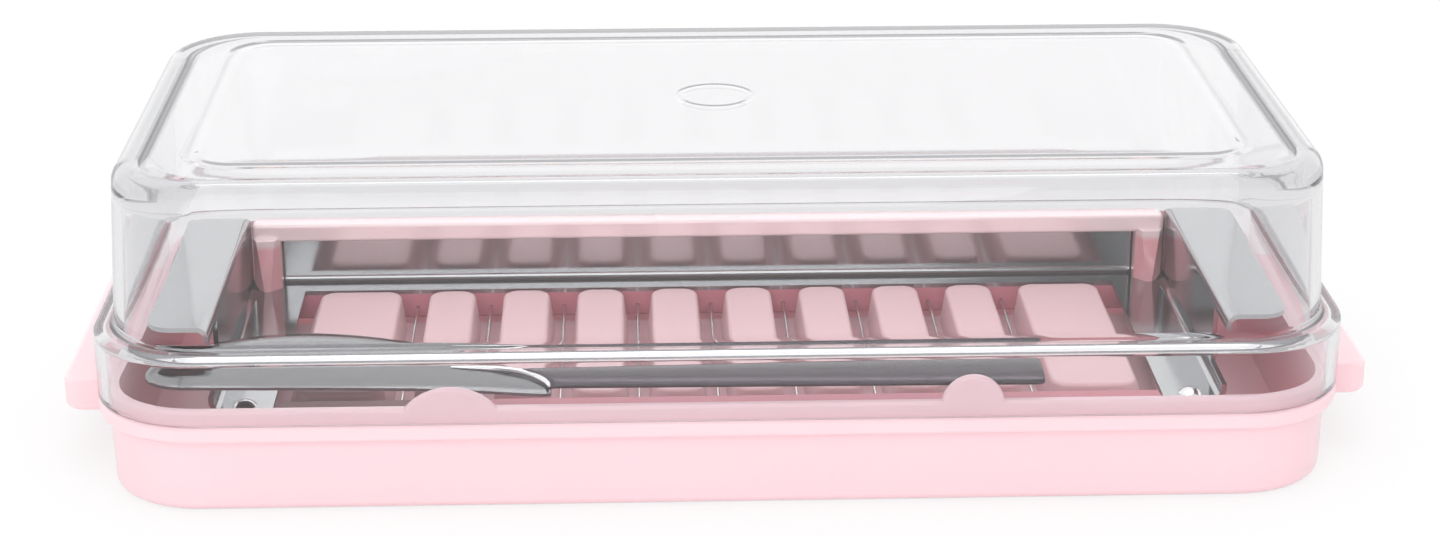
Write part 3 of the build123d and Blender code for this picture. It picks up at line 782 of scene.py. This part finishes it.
outside = soften(
    [skirt_slice(low.z), skirt_slice(step_z), upper_slice(step_z), upper_slice(high.z),
     groove_slice(2 * GROOVE_HALF, high.z)],
    [0, STEP_EDGE, STEP_FOOT, TOP_EDGE, 0], OUTSIDE_BEND_STEPS)
top = (furrow(groove_slice, GROOVE_HALF, GROOVE_DEPTH) + [ring_slice(3 * RING_HALF, high.z)]
       + furrow(ring_slice, RING_HALF, RING_DEPTH) + [ring_slice(-3 * RING_HALF, high.z)])
ceiling = high.z - LID_WALL
inner_step = step_z - LID_WALL
inside = soften(
    [ring_slice(0, ceiling), upper_slice(ceiling, LID_WALL), upper_slice(inner_step, LID_WALL),
     skirt_slice(inner_step, LID_WALL), skirt_slice(low.z, LID_WALL)],
    [0, CEILING_EDGE, INNER_STEP_FOOT, INNER_STEP_EDGE, 0], INSIDE_BEND_STEPS)
mesh = bmesh.new()
stack(mesh, [skirt_slice(low.z, FOOT_ROUND), skirt_slice(low.z + FOOT_ROUND)] + outside[1:] + top,
      cap_last=True)
stack(mesh, inside[:-1] + [skirt_slice(low.z + FOOT_ROUND, LID_WALL),
                           skirt_slice(low.z, LID_WALL - FOOT_ROUND),
                           skirt_slice(low.z, FOOT_ROUND)], cap_first=True)
clear_plastic, tree, shader = new_material("clear plastic")
shader.inputs["Base Color"].default_value = (*CLEAR_TINT, 1)
shader.inputs["Roughness"].default_value = CLEAR_ROUGHNESS
shader.inputs["IOR"].default_value = PLASTIC_IOR
shader.inputs["Transmission Weight"].default_value = 1.0
straight = add(tree, "ShaderNodeBsdfTransparent", Color=(1, 1, 1, 1))
painted_glow = add(tree, "ShaderNodeEmission", Color=(*PAINTED_WALL_GLOW, 1), Strength=1.0)
smoke = add(tree, "ShaderNodeVolumeAbsorption", Color=(*WALL_TINT, 1), Density=WALL_DENSITY)
rays = tree.nodes.new("ShaderNodeLightPath").outputs


def mix_shaders(tree, first, second, factor):
    """A mix of two shaders by a socket."""
    blend = tree.nodes.new("ShaderNodeMixShader")
    for source, socket in zip((factor, first, second), blend.inputs):
        tree.links.new(source, socket)
    return blend.outputs["Shader"]


# The lid casts no shadow of its own shape. Where a ray has turned many times inside its
# wall, the wall glows a fixed grey instead: a painted glow that draws soft grey lines.
surface = mix_shaders(tree, shader.outputs["BSDF"], straight.outputs["BSDF"],
                      rays["Is Shadow Ray"])
turned_often = reckon(tree, "GREATER_THAN", rays["Ray Depth"], GLOW_AFTER_TURNS)
surface = mix_shaders(tree, surface, painted_glow.outputs["Emission"], turned_often)
output = tree.nodes["Material Output"]
tree.links.new(surface, output.inputs["Surface"])
tree.links.new(smoke.outputs["Volume"], output.inputs["Volume"])
lid_shell = finish_mesh("lid_shell", mesh, clear_plastic, LID_SHARP)
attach(lid_shell, "lid")
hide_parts("lid")

# Floor
# A plain white sheet under the object. It keeps the object's soft shadow, and where it is
# seen, straight or mirrored, it also glows, so that it looks as white as the studio.
FLOOR_GLOW_SHARE = 0.72
FLOOR_SIZE = 6.0
FLOOR_DROP = 0.05 * MM
FLOOR_PAINT = (0.90, 0.90, 0.90)
FLOOR_ROUGHNESS = 0.9
bpy.ops.mesh.primitive_plane_add(size=FLOOR_SIZE, location=(0, 0, -FLOOR_DROP))
floor = bpy.context.object
floor.name = "floor"
floor_paint, tree, shader = new_material("floor paint")
shader.inputs["Base Color"].default_value = (*FLOOR_PAINT, 1)
shader.inputs["Roughness"].default_value = FLOOR_ROUGHNESS
shader.inputs["Specular IOR Level"].default_value = 0.0
glow = add(tree, "ShaderNodeEmission", Color=(1, 1, 1, 1), Strength=1.0)
rays = tree.nodes.new("ShaderNodeLightPath").outputs
seen = rays["Is Camera Ray"]
for kind in ("Is Glossy Ray", "Is Transmission Ray"):
    seen = reckon(tree, "MAXIMUM", seen, rays[kind])
share = reckon(tree, "MULTIPLY", seen, FLOOR_GLOW_SHARE)
surface = mix_shaders(tree, shader.outputs["BSDF"], glow.outputs["Emission"], share)
tree.links.new(surface, tree.nodes["Material Output"].inputs["Surface"])
floor.data.materials.append(floor_paint)

# Light
# A white studio: an even soft light all round, a large lamp overhead and one in front.
# What steel mirrors is brightest at the back of the studio and darkens to its front, and
# light that only turns round inside the lid's wall stays white.
EVEN_LIGHT = 0.84
MIRROR_FRONT = 0.25
MIRROR_BACK = 1.45
MIRROR_FRONT_END = -0.60
MIRROR_BACK_END = 0.25
LID_WALL_PASSES = 2.0
LID_WALL_PASSES_EITHER_WAY = 1.5
OVERHEAD_POWER = 3.0
OVERHEAD_SIZE = 0.9
OVERHEAD_PLACE = (0.0, 0.10, 1.0)
FRONT_POWER = 3.9
FRONT_SIZE = 0.8
FRONT_PLACE = (-0.20, -1.0, 0.55)
FRONT_AIM = (0.0, 0.0, 0.02)
world = bpy.data.worlds.new("studio")
bpy.context.scene.world = world
world.use_nodes = True
tree = world.node_tree
mirrored = tree.nodes["Background"]
mirrored.inputs["Color"].default_value = (1, 1, 1, 1)
place = tree.nodes.new("ShaderNodeTexCoord")
split = tree.nodes.new("ShaderNodeSeparateXYZ")
fade = add(tree, "ShaderNodeMapRange", From_Min=MIRROR_FRONT_END, From_Max=MIRROR_BACK_END,
           To_Min=MIRROR_FRONT, To_Max=MIRROR_BACK)
fade.interpolation_type = "SMOOTHSTEP"
tree.links.new(place.outputs["Generated"], split.inputs["Vector"])
tree.links.new(split.outputs["Y"], fade.inputs["Value"])
tree.links.new(fade.outputs["Result"], mirrored.inputs["Strength"])
even = add(tree, "ShaderNodeBackground", Color=(1, 1, 1, 1), Strength=EVEN_LIGHT)
white = add(tree, "ShaderNodeBackground", Color=(1, 1, 1, 1), Strength=1.0)
rays = tree.nodes.new("ShaderNodeLightPath").outputs
off_steel = reckon(tree, "MULTIPLY", rays["Is Glossy Ray"], rays["Glossy Depth"], clamp=True)
in_lid_wall = reckon(tree, "COMPARE", rays["Transmission Depth"], LID_WALL_PASSES,
                     LID_WALL_PASSES_EITHER_WAY)
off_steel_only = reckon(tree, "SUBTRACT", off_steel, in_lid_wall, clamp=True)
background = even.outputs["Background"]
for chosen, shade in ((rays["Is Transmission Ray"], white), (rays["Is Camera Ray"], white),
                      (off_steel_only, mirrored)):
    background = mix_shaders(tree, background, shade.outputs["Background"], chosen)
tree.links.new(background, tree.nodes["World Output"].inputs["Surface"])


def soft_lamp(name, power, size, place, aim):
    """A square area lamp at a place, turned to a point, that steel doesn't mirror."""
    lamp = bpy.data.lights.new(name, "AREA")
    lamp.energy = power
    lamp.size = size
    holder = bpy.data.objects.new(name, lamp)
    bpy.context.scene.collection.objects.link(holder)
    holder.visible_glossy = False
    holder.location = place
    holder.rotation_euler = (Vector(aim) - Vector(place)).to_track_quat("-Z", "Y").to_euler()


soft_lamp("overhead lamp", OVERHEAD_POWER, OVERHEAD_SIZE, OVERHEAD_PLACE, (0, 0, 0))
soft_lamp("front lamp", FRONT_POWER, FRONT_SIZE, FRONT_PLACE, FRONT_AIM)

# Camera
# The photograph's view: a little above the object and almost straight on, from half a
# metre, through a long lens that takes in the whole case.
CAMERA_AZIMUTH = math.radians(-1.98)
CAMERA_HEIGHT_ANGLE = math.radians(20.687)
CAMERA_DISTANCE = 0.497
CAMERA_TARGET = Vector((0.00092, 0.0, 0.0234))
LENS_LENGTH = 71.45
FILM_WIDTH = 36.0
lens = bpy.data.cameras.new("camera")
lens.lens = LENS_LENGTH
lens.sensor_width = FILM_WIDTH
camera = bpy.data.objects.new("camera", lens)
bpy.context.scene.collection.objects.link(camera)
away = Vector((math.sin(CAMERA_AZIMUTH) * math.cos(CAMERA_HEIGHT_ANGLE),
               -math.cos(CAMERA_AZIMUTH) * math.cos(CAMERA_HEIGHT_ANGLE),
               math.sin(CAMERA_HEIGHT_ANGLE)))
camera.location = CAMERA_TARGET + away * CAMERA_DISTANCE
camera.rotation_euler = (-away).to_track_quat("-Z", "Y").to_euler()
bpy.context.scene.camera = camera
bpy.context.scene.view_settings.view_transform = "Standard"
